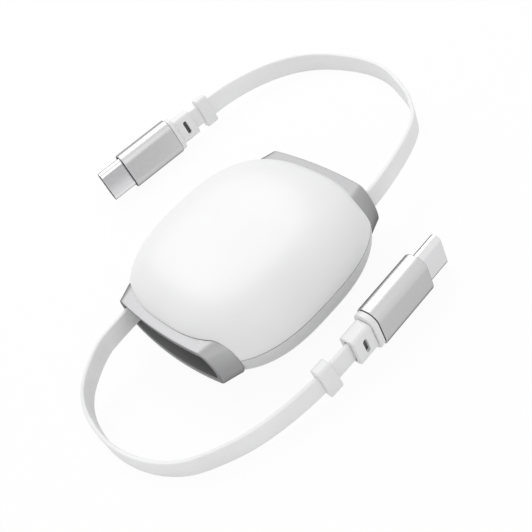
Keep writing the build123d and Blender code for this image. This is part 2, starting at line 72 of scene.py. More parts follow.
# materials
surface = {
    "noiseRoughness": 0.55, "spreadLow": 0.3, "spreadHigh": 0.7, "blendLow": 0.35, "blendHigh": 0.65,
    "plasticCloud": 60, "plasticRough": (0.88, 1.12), "plasticDepth": 0.000006, "plasticGloss": 0.5,
    "streakScale": 3200, "streakStretch": 0.03, "streakTone": (0.93, 1.05), "streakRough": (0.85, 1.2),
    "streakDepth": 0.000003, "streakStrength": 0.35,
    "satinTone": (0.98, 1.02), "satinRough": (0.9, 1.1), "satinStrength": 0.3,
    "cableCloud": 90, "cableTone": 0.95, "cableStretch": (1.5, 9, 1), "cableScale": 3.0,
    "cableRough": (0.42, 0.56), "cableDepth": 0.00002, "cableStrength": 0.3, "cableGloss": 0.4,
}


def newMaterial(name):
    material = bpy.data.materials.new(name)
    material.use_nodes = True
    nodes = material.node_tree.nodes
    shader = nodes["Principled BSDF"]
    return material, material.node_tree, shader


def objectPoint(tree, scale, stretch=(1, 1, 1)):
    place = tree.nodes.new("ShaderNodeTexCoord")
    mapping = tree.nodes.new("ShaderNodeMapping")
    mapping.inputs["Scale"].default_value = [scale * s for s in stretch]
    tree.links.new(place.outputs["Object"], mapping.inputs["Vector"])
    return mapping.outputs["Vector"]


def noiseOn(tree, vector, detail, scale=1.0):
    noise = tree.nodes.new("ShaderNodeTexNoise")
    noise.inputs["Scale"].default_value = scale
    noise.inputs["Detail"].default_value = detail
    noise.inputs["Roughness"].default_value = surface["noiseRoughness"]
    tree.links.new(vector, noise.inputs["Vector"])
    return noise.outputs["Fac"]


def spread(tree, factor, low, high):
    between = tree.nodes.new("ShaderNodeMapRange")
    between.inputs["From Min"].default_value = surface["spreadLow"]
    between.inputs["From Max"].default_value = surface["spreadHigh"]
    between.inputs["To Min"].default_value = low
    between.inputs["To Max"].default_value = high
    tree.links.new(factor, between.inputs["Value"])
    return between.outputs["Result"]


def blendColours(tree, factor, first, second):
    ramp = tree.nodes.new("ShaderNodeValToRGB")
    ramp.color_ramp.elements[0].position = surface["blendLow"]
    ramp.color_ramp.elements[1].position = surface["blendHigh"]
    ramp.color_ramp.elements[0].color = (*first, 1)
    ramp.color_ramp.elements[1].color = (*second, 1)
    tree.links.new(factor, ramp.inputs["Fac"])
    return ramp.outputs["Color"]


def bumpFrom(tree, height, shader, distance, strength=0.5):
    bump = tree.nodes.new("ShaderNodeBump")
    bump.inputs["Distance"].default_value = distance
    bump.inputs["Strength"].default_value = strength
    tree.links.new(height, bump.inputs["Height"])
    tree.links.new(bump.outputs["Normal"], shader.inputs["Normal"])


def mouldedPlastic(name, colour, shift, rough, grain=2600):
    material, tree, shader = newMaterial(name)
    cloud = noiseOn(tree, objectPoint(tree, surface["plasticCloud"]), 2)
    pale = tuple(min(1, c * (1 + shift)) for c in colour)
    deep = tuple(c * (1 - shift) for c in colour)
    tree.links.new(blendColours(tree, cloud, deep, pale), shader.inputs["Base Color"])
    speckle = noiseOn(tree, objectPoint(tree, grain), 2)
    smooth, coarse = surface["plasticRough"]
    tree.links.new(spread(tree, speckle, rough * smooth, rough * coarse), shader.inputs["Roughness"])
    bumpFrom(tree, speckle, shader, surface["plasticDepth"])
    shader.inputs["Specular IOR Level"].default_value = surface["plasticGloss"]
    return material


def brushedMetal(name, colour, rough, along=(1, 0, 0)):
    material, tree, shader = newMaterial(name)
    stretch = [surface["streakStretch"] if a else 1.0 for a in along]
    lines = noiseOn(tree, objectPoint(tree, surface["streakScale"], stretch), 4)
    darker, lighter = surface["streakTone"]
    smooth, coarse = surface["streakRough"]
    pale = tuple(min(1, c * lighter) for c in colour)
    deep = tuple(c * darker for c in colour)
    tree.links.new(blendColours(tree, lines, deep, pale), shader.inputs["Base Color"])
    tree.links.new(spread(tree, lines, rough * smooth, rough * coarse), shader.inputs["Roughness"])
    shader.inputs["Metallic"].default_value = 1
    bumpFrom(tree, lines, shader, surface["streakDepth"], surface["streakStrength"])
    return material


def satinMetal(name, colour, rough, grain=9000, depth=0.0000015):
    material, tree, shader = newMaterial(name)
    speckle = noiseOn(tree, objectPoint(tree, grain), 2)
    darker, lighter = surface["satinTone"]
    smooth, coarse = surface["satinRough"]
    pale = tuple(min(1, c * lighter) for c in colour)
    deep = tuple(c * darker for c in colour)
    tree.links.new(blendColours(tree, speckle, deep, pale), shader.inputs["Base Color"])
    tree.links.new(spread(tree, speckle, rough * smooth, rough * coarse), shader.inputs["Roughness"])
    shader.inputs["Metallic"].default_value = 1
    # Black Specular Tint: painted dark reflections at grazing angles, which darken the edges and outlines of
    # these metals as if a dark surround were mirrored there.
    shader.inputs["Specular Tint"].default_value = (0, 0, 0, 1)
    bumpFrom(tree, speckle, shader, depth, surface["satinStrength"])
    return material


def softCable(name, colour):
    material, tree, shader = newMaterial(name)
    cloud = noiseOn(tree, objectPoint(tree, surface["cableCloud"]), 2)
    deep = tuple(c * surface["cableTone"] for c in colour)
    tree.links.new(blendColours(tree, cloud, deep, colour), shader.inputs["Base Color"])
    uv = tree.nodes.new("ShaderNodeUVMap")
    uv.uv_map = "stripMap"
    mapping = tree.nodes.new("ShaderNodeMapping")
    mapping.inputs["Scale"].default_value = surface["cableStretch"]
    tree.links.new(uv.outputs["UV"], mapping.inputs["Vector"])
    drawn = noiseOn(tree, mapping.outputs["Vector"], 3, surface["cableScale"])
    tree.links.new(spread(tree, drawn, *surface["cableRough"]), shader.inputs["Roughness"])
    bumpFrom(tree, drawn, shader, surface["cableDepth"], surface["cableStrength"])
    shader.inputs["Specular IOR Level"].default_value = surface["cableGloss"]
    return material


finishes = {
    "shellWhite": mouldedPlastic("shellWhite", (0.86, 0.86, 0.865), 0.012, 0.36, 1800),
    # The base's finish is the shell's white made darker: painted shade for the housing's lower flank.
    "baseWhitePaintedShade": mouldedPlastic("baseWhitePaintedShade", (0.70, 0.70, 0.705), 0.012, 0.42, 1800),
    # trimSilver, tipSteel and sleeveMetal are satinMetal finishes, so they carry its painted dark edge
    # reflections.
    "trimSilver": satinMetal("trimSilver", (0.39, 0.39, 0.395), 0.52, 3000, 0.00001),
    # The liner's dark grey is painted shade: it stands in for the shadow inside the mouths.
    "linerPaintedShade": mouldedPlastic("linerPaintedShade", (0.20, 0.20, 0.204), 0.08, 0.55, 2400),
    "cableWhite": softCable("cableWhite", (0.92, 0.92, 0.925)),
    "coilWhite": mouldedPlastic("coilWhite", (0.78, 0.78, 0.785), 0.02, 0.5),
    "plugWhite": mouldedPlastic("plugWhite", (0.86, 0.86, 0.865), 0.01, 0.38, 2200),
    "plugGrey": mouldedPlastic("plugGrey", (0.08, 0.08, 0.083), 0.06, 0.55),
    "insertBlack": mouldedPlastic("insertBlack", (0.02, 0.02, 0.021), 0.1, 0.5),
    "reelWhite": mouldedPlastic("reelWhite", (0.7, 0.7, 0.7), 0.02, 0.5),
    "boardGreen": mouldedPlastic("boardGreen", (0.02, 0.13, 0.06), 0.08, 0.45),
    "tipSteel": satinMetal("tipSteel", (0.78, 0.78, 0.79), 0.18),
    "sleeveMetal": satinMetal("sleeveMetal", (0.60, 0.60, 0.605), 0.38),
    "innerSteel": brushedMetal("innerSteel", (0.62, 0.62, 0.64), 0.32, (0, 0, 1)),
    "contactGold": brushedMetal("contactGold", (0.86, 0.66, 0.32), 0.25),
}
print("materials made:", len(finishes))


# mesh helpers
meshTidy = {"sharpDegrees": 32, "weld": 0.0000005, "fullRound": 0.999}


def roundedLoop(width, height, corner, cornerSteps=8):
    points = []
    for sideX, sideY, start in ((1, 1, 0), (-1, 1, 90), (-1, -1, 180), (1, -1, 270)):
        centreX = sideX * (width / 2 - corner)
        centreY = sideY * (height / 2 - corner)
        for i in range(cornerSteps + 1):
            angle = math.radians(start + 90 * i / cornerSteps)
            points.append((centreX + corner * math.cos(angle), centreY + corner * math.sin(angle)))
    return points


def meshFromLoops(name, loops, closed=False):
    count = len(loops[0])
    mesh = bpy.data.meshes.new(name)
    points = [p for loop in loops for p in loop]
    faces = []
    rows = len(loops)
    for row in range(rows if closed else rows - 1):
        here = row * count
        there = ((row + 1) % rows) * count
        for i in range(count):
            j = (i + 1) % count
            faces.append((here + i, here + j, there + j, there + i))
    if not closed:
        faces.append(tuple(range(count - 1, -1, -1)))
        faces.append(tuple((rows - 1) * count + i for i in range(count)))
    mesh.from_pydata(points, [], faces)
    tidyMesh(mesh)
    return mesh


def tidyMesh(mesh):
    work = bmesh.new()
    work.from_mesh(mesh)
    bmesh.ops.remove_doubles(work, verts=work.verts, dist=meshTidy["weld"])
    bmesh.ops.recalc_face_normals(work, faces=work.faces)
    work.to_mesh(mesh)
    work.free()
    for polygon in mesh.polygons:
        polygon.use_smooth = True
    mesh.set_sharp_from_angle(angle=math.radians(meshTidy["sharpDegrees"]))
    mesh.update()


def addPiece(name, mesh, finish, stands=(), body="housing", weighted=True):
    piece = bpy.data.objects.new(name, mesh)
    bpy.context.scene.collection.objects.link(piece)
    mesh.materials.clear()
    mesh.materials.append(finishes[finish])
    if weighted:
        evenNormals = piece.modifiers.new("evenNormals", "WEIGHTED_NORMAL")
        evenNormals.keep_sharp = True
    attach(piece, body)
    if stands:
        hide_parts(*stands)
    return piece


def bakedMesh(holder):
    graph = bpy.context.evaluated_depsgraph_get()
    return bpy.data.meshes.new_from_object(holder.evaluated_get(graph))


def cutMesh(mesh, cutters):
    holder = bpy.data.objects.new("cutHolder", mesh)
    bpy.context.scene.collection.objects.link(holder)
    helpers = []
    for cutterMesh in cutters:
        helper = bpy.data.objects.new("cutHelper", cutterMesh)
        bpy.context.scene.collection.objects.link(helper)
        cut = holder.modifiers.new("cut", "BOOLEAN")
        cut.operation = "DIFFERENCE"
        cut.solver = "EXACT"
        cut.object = helper
        helpers.append(helper)
    result = bakedMesh(holder)
    for helper in helpers + [holder]:
        bpy.data.objects.remove(helper, do_unlink=True)
    return result


# where the plugs lie: both on edge, with the slotted face towards the camera
sleeve = {"width": 9.8, "thickness": 5.7, "corner": 2.5, "length": 15.5, "wall": 0.45}
plugPlaces = {
    "near": {"at": (17.4, -31.4), "heading": 1.3, "roll": 88.0, "bandGap": 5.2, "twist": 38.0},
    "far": {"at": (7.6, 58.0), "heading": 173.0, "roll": 75.0, "bandGap": 3.0, "twist": 44.0},
}


def plugFrame(plug):
    heading = math.radians(plug["heading"])
    roll = math.radians(plug["roll"])
    forward = Vector((math.cos(heading), math.sin(heading), 0))
    side = Vector((math.sin(heading), -math.cos(heading), 0))
    if side.y > 0:
        side = -side
    height = (
        (sleeve["width"] / 2 - sleeve["corner"]) * math.sin(roll)
        + (sleeve["thickness"] / 2 - sleeve["corner"]) * math.cos(roll)
        + sleeve["corner"]
    )
    widthWay = side * math.cos(roll) - Vector((0, 0, math.sin(roll)))
    topWay = forward.cross(widthWay)
    if topWay.z < 0:
        topWay = -topWay
    return Vector((*plug["at"], height)), forward, widthWay, topWay


# cables: flat strips that stand on edge and lean over on the way to the plug
cable = {
    "width": 5.0,
    "thickness": 1.0,
    "corner": 0.35,
    "crimpDepth": 1.2,
    "neckLength": 5.3,
    "ringLength": 1.4,
    "neckLead": 1.9,
    "bandLength": 3.4,
    "bandClear": 0.4,
    "routeSteps": 10,
    "routeOrder": 3,
}
routes = {
    "near": [
        (-1.0, 12.9, 9.7), (-14.5, 13.15, 9.7), (-29.0, 12.9, 9.6), (-34.8, 13.5, 8.0),
        (-44.4, 9.9, 4.6), (-47.6, -1.3, 2.6), (-46.2, -11.5, 2.6), (-42.0, -19.3, 2.6),
        (-36.3, -23.5, 2.6), (-28.3, -28.0, 3.1), (-16.2, -31.3, 4.2),
    ],
    "far": [
        (1.0, -12.9, 9.7), (14.5, -13.15, 9.7), (28.5, -13.3, 9.8), (48.3, -7.3, 7.8),
        (56.5, 1.3, 4.6), (61.1, 7.1, 2.8), (67.6, 20.7, 2.6), (65.2, 38.3, 2.6),
        (57.7, 48.5, 3.2), (44.6, 54.1, 4.3),
    ],
}


def routeLine(points):
    curve = bpy.data.curves.new("routeCurve", "CURVE")
    curve.dimensions = "3D"
    curve.resolution_u = cable["routeSteps"]
    spline = curve.splines.new("NURBS")
    spline.points.add(len(points) - 1)
    for knot, point in zip(spline.points, points):
        knot.co = (point[0] * mm, point[1] * mm, point[2] * mm, 1)
    spline.order_u = cable["routeOrder"]
    spline.use_endpoint_u = True
    holder = bpy.data.objects.new("routeHolder", curve)
    bpy.context.scene.collection.objects.link(holder)
    mesh = bakedMesh(holder)
    line = [v.co.copy() for v in mesh.vertices]
    bpy.data.objects.remove(holder, do_unlink=True)
    return line


def alongLine(line):
    distances = [0.0]
    for before, after in zip(line, line[1:]):
        distances.append(distances[-1] + (after - before).length)
    tangents = []
    for i in range(len(line)):
        ahead = line[min(i + 1, len(line) - 1)]
        behind = line[max(i - 1, 0)]
        tangents.append((ahead - behind).normalized())
    return distances, tangents


def stripFrame(tangent, lean, level=True):
    along = tangent.copy()
    if level:
        along = Vector((tangent.x, tangent.y, 0)).normalized()
    side = along.cross(Vector((0, 0, 1))).normalized()
    if side.y < 0:
        side = -side
    top = side.cross(along)
    if top.z < 0:
        top = -top
    widthWay = side * math.sin(lean) + top * math.cos(lean)
    faceWay = widthWay.cross(along)
    if faceWay.z < 0 or (abs(faceWay.z) < 1e-6 and faceWay.y > 0):
        faceWay = -faceWay
    return widthWay, faceWay


def leanAt(toGo, plug):
    twistEnd = cable["neckLength"] - cable["crimpDepth"] + plug["bandGap"]
    twistEnd += cable["bandLength"] + cable["bandClear"]
    share = 1 - (toGo / mm - twistEnd) / plug["twist"]
    return math.radians(90 - plug["roll"]) * min(1, max(0, share))


def stripMesh(name, line, plug):
    distances, tangents = alongLine(line)
    section = roundedLoop(cable["width"] * mm, cable["thickness"] * mm, cable["corner"] * mm, 4)
    loops = []
    for centre, tangent, distance in zip(line, tangents, distances):
        widthWay = stripFrame(tangent, leanAt(distances[-1] - distance, plug))[0]
        faceWay = widthWay.cross(tangent)
        loops.append([centre + widthWay * u + faceWay * v for u, v in section])
    mesh = meshFromLoops(name, loops)
    count = len(section)
    uvLayer = mesh.uv_layers.new(name="stripMap")
    for polygon in mesh.polygons:
        for loopIndex in polygon.loop_indices:
            vertex = mesh.loops[loopIndex].vertex_index
            row, column = divmod(vertex, count)
            if row < len(distances):
                uvLayer.data[loopIndex].uv = (distances[row] / (cable["width"] * mm), column / count)
    return mesh


def placeAt(line, toGo):
    distances, tangents = alongLine(line)
    wanted = distances[-1] - toGo * mm
    for i in range(len(line) - 1):
        if distances[i + 1] >= wanted:
            share = (wanted - distances[i]) / (distances[i + 1] - distances[i])
            return line[i].lerp(line[i + 1], share), tangents[i].lerp(tangents[i + 1], share).normalized()
    return line[-1], tangents[-1]


lines = {}
for end, plug in plugPlaces.items():
    origin, forward = plugFrame(plug)[:2]
    root = origin - forward * (sleeve["length"] + cable["ringLength"] + cable["crimpDepth"])
    leaving = origin - forward * (
        sleeve["length"] + cable["ringLength"] + cable["neckLength"] + cable["neckLead"]
    )
    lines[end] = routeLine(routes[end] + [tuple(leaving), tuple(root)])
    cableName = "flatCable" + end.capitalize()
    addPiece(
        cableName, stripMesh(cableName, lines[end], plug), "cableWhite",
        ["cable_" + end], weighted=False,
    )
    length = alongLine(lines[end])[0][-1]
    print("cable", end, "length", round(length / mm, 1), "mm")
print("cables laid")


# housing: two superellipse shells with flared mouths
housing = {
    "length": 50.0, "width": 47.4, "planPower": 2.73,
    "partingHeight": 10.1, "partingGap": 0.24,
    "topHeight": 10.1, "topFlatness": 4.8, "topRoundness": 1.64,
    "bottomDepth": 10.1, "footDepth": 0.2, "bottomFlatness": 4.1, "bottomRoundness": 2.02,
    "wall": 1.6, "overlap": 0.5, "poleShare": 0.995, "floorRing": 0.5, "aroundSteps": 192, "risingSteps": 36,
}
mouth = {
    "rimReach": 25.4, "seamReach": 20.0, "backReach": 18.2, "bow": 1.2, "bowPasses": 3, "halfRim": 15.65,
    "flareReach": 21.4, "straightReach": 23.0, "cutterBack": 15.2, "cutterFront": 27.4,
    "rim": {
        "halfTop": 13.15, "halfMiddle": 15.0, "halfFoot": 14.95, "top": 14.6, "foot": 5.55, "sag": 0.9,
        "topCorner": 2.0, "footCorner": 1.6,
    },
    "seam": {
        "halfTop": 14.8, "halfMiddle": 17.95, "halfFoot": 16.0, "top": 14.9, "foot": 4.85, "sag": 0.5,
        "topCorner": 4.5, "footCorner": 2.4,
    },
    "leastCorner": 0.3, "rearGrowth": 0.45, "middleHeight": 9.7, "wall": 0.5, "lip": 0.22, "lipSteps": 6,
    "shellGap": 0.16, "backInset": -1.3, "linerWall": 0.8, "linerBack": 0.9, "linerSetback": 0.15,
    "linerGap": 0.03, "slitCorner": 0.3, "slitSpan": (-1, 2),
    "slitWidth": 1.7, "slitHeight": 5.7, "slitAside": 13.1, "edgeSteps": (24, 8, 24, 8), "cornerSteps": 8,
}
screws = {
    "spacingX": 27.4, "spacingY": 32.6, "seat": 4.4, "headRadius": 1.5, "bossRadius": 2.3,
    "wellGap": 0.15, "cutFrom": -1, "bossTop": 12, "steps": 32,
    "profile": [
        (0.01, 9.0), (0.8, 8.9), (0.8, 0.0), (1.5, 0.0), (1.5, -0.75), (1.42, -0.92), (1.25, -1.0),
        (0.01, -1.0),
    ],
    "recess": (1.7, 0.42), "recessCorner": 0.05, "recessHeights": (-1.5, -0.5),
}


def planLoop(share, inset, height):
    power = housing["planPower"]
    loop = []
    for i in range(housing["aroundSteps"]):
        angle = 2 * math.pi * i / housing["aroundSteps"]
        c, s = math.cos(angle), math.sin(angle)
        reach = share * (abs(c) ** power + abs(s) ** power) ** (-1 / power)
        x = reach * c * (housing["length"] / 2 - inset)
        y = reach * s * (housing["width"] / 2 - inset)
        loop.append(Vector((x * mm, y * mm, height * mm)))
    return loop


def domeLoops(startHeight, rise, flatness, roundness, inset, floorHeight=None):
    loops = []
    steps = housing["risingSteps"]
    for i in range(steps + 1):
        turn = math.pi / 2 * min(i / steps, housing["poleShare"])
        share = math.cos(turn) ** (2 / flatness)
        lift = math.sin(turn) ** (2 / roundness)
        height = startHeight + rise * lift
        if floorHeight is not None and height < floorHeight:
            lift = (floorHeight - startHeight) / rise
            share = (1 - lift**roundness) ** (1 / flatness)
            loops.append(planLoop(share, inset, floorHeight))
            loops.append(planLoop(share * housing["floorRing"], inset, floorHeight))
            break
        loops.append(planLoop(share, inset, height))
    return loops


def domeMesh(name, loops):
    count = len(loops[0])
    mesh = bpy.data.meshes.new(name)
    points = [p for loop in loops for p in loop]
    faces = []
    for row in range(len(loops) - 1):
        for i in range(count):
            j = (i + 1) % count
            faces.append((row * count + i, row * count + j, (row + 1) * count + j, (row + 1) * count + i))
    for loop, first in ((loops[0], 0), (loops[-1], (len(loops) - 1) * count)):
        pole = len(points)
        points.append(Vector((0, 0, loop[0].z)))
        for i in range(count):
            faces.append((first + i, first + (i + 1) % count, pole))
    mesh.from_pydata(points, [], faces)
    tidyMesh(mesh)
    return mesh


def mouthSection(form, grow):
    top, foot = form["top"] + grow, form["foot"] - grow
    halfTop, halfFoot = form["halfTop"] + grow / 2, form["halfFoot"] + grow
    halfMiddle = form["halfMiddle"] + grow
    sag = foot - form["sag"]
    corners = [Vector(p) for p in ((halfTop, top), (-halfTop, top), (-halfFoot, foot), (halfFoot, foot))]
    middles = [Vector(p) for p in (
        (0, top), (-halfMiddle, mouth["middleHeight"]), (0, sag), (halfMiddle, mouth["middleHeight"])
    )]
    keys = ("topCorner", "topCorner", "footCorner", "footCorner")
    radii = [max(form[key] + grow, mouth["leastCorner"]) for key in keys]
    edges = []
    for i, middle in enumerate(middles):
        first, last = corners[i], corners[(i + 1) % 4]
        edges.append((first, last - first, (middle - (first + last) / 2) * 4))
    trims = []
    for i in range(4):
        arriving = (edges[i - 1][1] - edges[i - 1][2]).normalized()
        going = (edges[i][1] + edges[i][2]).normalized()
        turn = arriving.angle(going)
        trims.append((radii[i] * math.tan(turn / 2), math.cos(turn / 2)))
    points = []
    for i in range(4):
        first, across, bulge = edges[i]
        start = trims[i][0] / across.length
        stop = 1 - trims[(i + 1) % 4][0] / across.length
        for step in range(mouth["edgeSteps"][i] + 1):
            t = start + (stop - start) * step / mouth["edgeSteps"][i]
            points.append(first + across * t + bulge * t * (1 - t))
        reach, weight = trims[(i + 1) % 4]
        corner = corners[(i + 1) % 4]
        following, followingAcross, followingBulge = edges[(i + 1) % 4]
        t = reach / followingAcross.length
        landing = following + followingAcross * t + followingBulge * t * (1 - t)
        leaving = points[-1]
        for step in range(1, mouth["cornerSteps"]):
            t = step / mouth["cornerSteps"]
            a, b, c = (1 - t) ** 2, 2 * weight * t * (1 - t), t * t
            points.append((leaving * a + corner * b + landing * c) / (a + b + c))
    return points


def mouthLoop(reach, grow, side, bowed):
    loop = []
    for atSeam, atRim in zip(mouthSection(mouth["seam"], grow), mouthSection(mouth["rim"], grow)):
        x = reach
        for _ in range(mouth["bowPasses"]):
            share = max((x - mouth["seamReach"]) / (mouth["rimReach"] - mouth["seamReach"]), 0)
            y, z = atSeam + (atRim - atSeam) * share
            y += mouth["rearGrowth"] * max(y / mouth["halfRim"], 0)
            if bowed:
                x = reach - mouth["bow"] * (y / mouth["halfRim"]) ** 2
        loop.append(Vector((side * x * mm, y * mm, z * mm)))
    return loop


def mouthCutter(side):
    gap, inset, seam = mouth["shellGap"], mouth["backInset"], mouth["seamReach"]
    rings = [(mouth["cutterBack"], inset), (seam - gap, inset), (seam - gap, gap)]
    rings += [(seam, gap), (mouth["cutterFront"], gap)]
    return meshFromLoops("mouthCutter", [mouthLoop(reach, grow, side, False) for reach, grow in rings])


def roundLoop(centre, radius, height, steps):
    loop = []
    for i in range(steps):
        angle = 2 * math.pi * i / steps
        x = centre[0] + radius * math.cos(angle)
        y = centre[1] + radius * math.sin(angle)
        loop.append(Vector((x, y, height)) * mm)
    return loop


def discMesh(name, centre, radius, low, high, steps=48):
    return meshFromLoops(name, [roundLoop(centre, radius, height, steps) for height in (low, high)])


screwPlaces = [
    (x * screws["spacingX"] / 2, y * screws["spacingY"] / 2) for x in (-1, 1) for y in (-1, 1)
]
halfGap = housing["partingGap"] / 2
upperEdge = housing["partingHeight"] + halfGap
lowerEdge = housing["partingHeight"] - halfGap

topOuter = domeMesh("topShellForm", domeLoops(
    upperEdge, housing["topHeight"] - halfGap, housing["topFlatness"], housing["topRoundness"], 0,
))
topInner = domeMesh("topHollow", domeLoops(
    upperEdge - housing["overlap"],
    housing["topHeight"] - halfGap - housing["wall"] + housing["overlap"],
    housing["topFlatness"], housing["topRoundness"], housing["wall"],
))
topMesh = cutMesh(topOuter, [topInner, mouthCutter(-1), mouthCutter(1)])
tidyMesh(topMesh)
addPiece("topShell", topMesh, "shellWhite", ["top_shell"], weighted=False)

bottomOuter = domeMesh("bottomShellForm", domeLoops(
    lowerEdge, halfGap - housing["bottomDepth"] - housing["footDepth"],
    housing["bottomFlatness"], housing["bottomRoundness"], 0, 0,
))
bottomInner = domeMesh("bottomHollow", domeLoops(
    lowerEdge + housing["overlap"],
    halfGap + housing["wall"] - housing["bottomDepth"] - housing["overlap"],
    housing["bottomFlatness"], housing["bottomRoundness"], housing["wall"],
))
cutFrom, wellRadius = screws["cutFrom"], screws["headRadius"] + screws["wellGap"]
bosses = [
    discMesh("boss", place, screws["bossRadius"], cutFrom, screws["bossTop"]) for place in screwPlaces
]
hollow = cutMesh(bottomInner, bosses)
wells = [discMesh("well", place, wellRadius, cutFrom, screws["seat"]) for place in screwPlaces]
bottomMesh = cutMesh(bottomOuter, [hollow] + wells + [mouthCutter(-1), mouthCutter(1)])
tidyMesh(bottomMesh)
addPiece("bottomShell", bottomMesh, "baseWhitePaintedShade", ["bottom_shell"], weighted=False)
print("shells cut")

for side, end in ((-1, "near"), (1, "far")):
    rim, lip, wall = mouth["rimReach"], mouth["lip"], mouth["wall"]
    seam, back, inset = mouth["seamReach"], mouth["backReach"], mouth["backInset"]
    flare, straight, steps = mouth["flareReach"], mouth["straightReach"], mouth["lipSteps"]
    turns = [math.pi / 2 * i / steps for i in range(steps + 1)]
    rings = [(seam, 0, False), (flare, 0, True), (straight, 0, True)]
    for turn in turns:
        rings.append((rim - lip + lip * math.sin(turn), -lip + lip * math.cos(turn), True))
    for turn in turns:
        rings.append((rim - lip + lip * math.cos(turn), -wall + lip - lip * math.sin(turn), True))
    rings += [(straight, -wall, True), (flare, -wall, True), (seam, -wall, False)]
    loops = [mouthLoop(reach, grow, side, bowed) for reach, grow, bowed in rings]
    trimName = "mouthTrim" + end.capitalize()
    addPiece(trimName, meshFromLoops(trimName, loops, closed=True), "trimSilver",
             ["mouth_trim_" + end])

    # The liner takes the dark finish that paints the shade inside the mouth.
    front, skin = rim - mouth["linerSetback"], mouth["linerWall"]
    outside = -wall - mouth["linerGap"]
    rings = [(back, inset, False), (seam, inset, False), (seam, outside, False), (flare, outside, True)]
    rings += [(front, outside, True), (front, outside - skin, True), (flare, outside - skin, True)]
    rings += [(seam + skin, inset - skin, False), (back + mouth["linerBack"], inset - skin, False)]
    loops = [mouthLoop(reach, grow, side, bowed) for reach, grow, bowed in rings]
    slit = []
    for reach in (back + span for span in mouth["slitSpan"]):
        slit.append([
            Vector((side * reach, -side * mouth["slitAside"] + u, mouth["middleHeight"] + v)) * mm
            for u, v in roundedLoop(mouth["slitWidth"], mouth["slitHeight"], mouth["slitCorner"], 3)
        ])
    linerMesh = cutMesh(meshFromLoops("linerForm", loops), [meshFromLoops("slitCutter", slit)])
    tidyMesh(linerMesh)
    linerName = "mouthLiner" + end.capitalize()
    addPiece(linerName, linerMesh, "linerPaintedShade", ["mouth_liner_" + end], weighted=False)
print("mouth trims and liners made")


# plugs
plugForms = {
    "sleeveLip": 0.3, "tipWidth": 8.34, "tipThickness": 2.56, "tipLength": 6.65, "tipWall": 0.25,
    "tipAnchor": 4.0, "ringInset": 0.25, "neckWidth": 6.9, "neckThickness": 3.9, "neckCorner": 1.0,
    "windowLength": 3.6, "windowWidth": 1.1, "crimpLength": 3.0, "bandWidth": 8.0,
    "bandThickness": 3.0, "bandCorner": 1.0, "bandEdge": 0.3, "bandSlack": 0.2, "bandSlitCorner": 0.4,
    "slit": (5.7, 1.7, 0.35), "pocket": (5.9, 2.5, 0.5), "plugged": (0.4, 0.2, 0.05), "groove": 0.14,
    "grooveDepth": 0.5, "neckGroove": 0.35, "edge": 0.12, "sleeveMouth": (0.15, 0.04, 1.7, 0.1),
    "tipMouth": (0.08, 0.01, 1.5, 0.75), "tipBackEdge": 0.01, "ringBackEdge": 0.2,
    "neckEdges": (0.1, 0.18), "pocketSpare": 0.1, "windowReach": (1.0, 4.0),
    "windowRound": 0.98,
}


def barMesh(name, frameOf, stations, cornerSteps):
    origin, forward, widthWay, topWay = frameOf
    loops = []
    for distance, width, thickness, corner in stations:
        roundest = thickness / 2 * meshTidy["fullRound"]
        section = roundedLoop(width, thickness, min(corner, roundest), cornerSteps)
        loops.append([
            (origin + forward * distance + widthWay * u + topWay * v) * mm for u, v in section
        ])
    return meshFromLoops(name, loops, closed=True)


def ringStations(front, back, width, thickness, corner, frontEdge, backEdge, steps=4):
    stations = []
    for i in range(steps + 1):
        turn = math.pi / 2 * i / steps
        inset = frontEdge * (1 - math.sin(turn))
        stations.append((front - frontEdge * (1 - math.cos(turn)), width - 2 * inset,
                         thickness - 2 * inset, corner - inset))
    for i in range(steps + 1):
        turn = math.pi / 2 * i / steps
        inset = backEdge * (1 - math.cos(turn))
        stations.append((back + backEdge * (1 - math.sin(turn)), width - 2 * inset,
                         thickness - 2 * inset, corner - inset))
    return stations


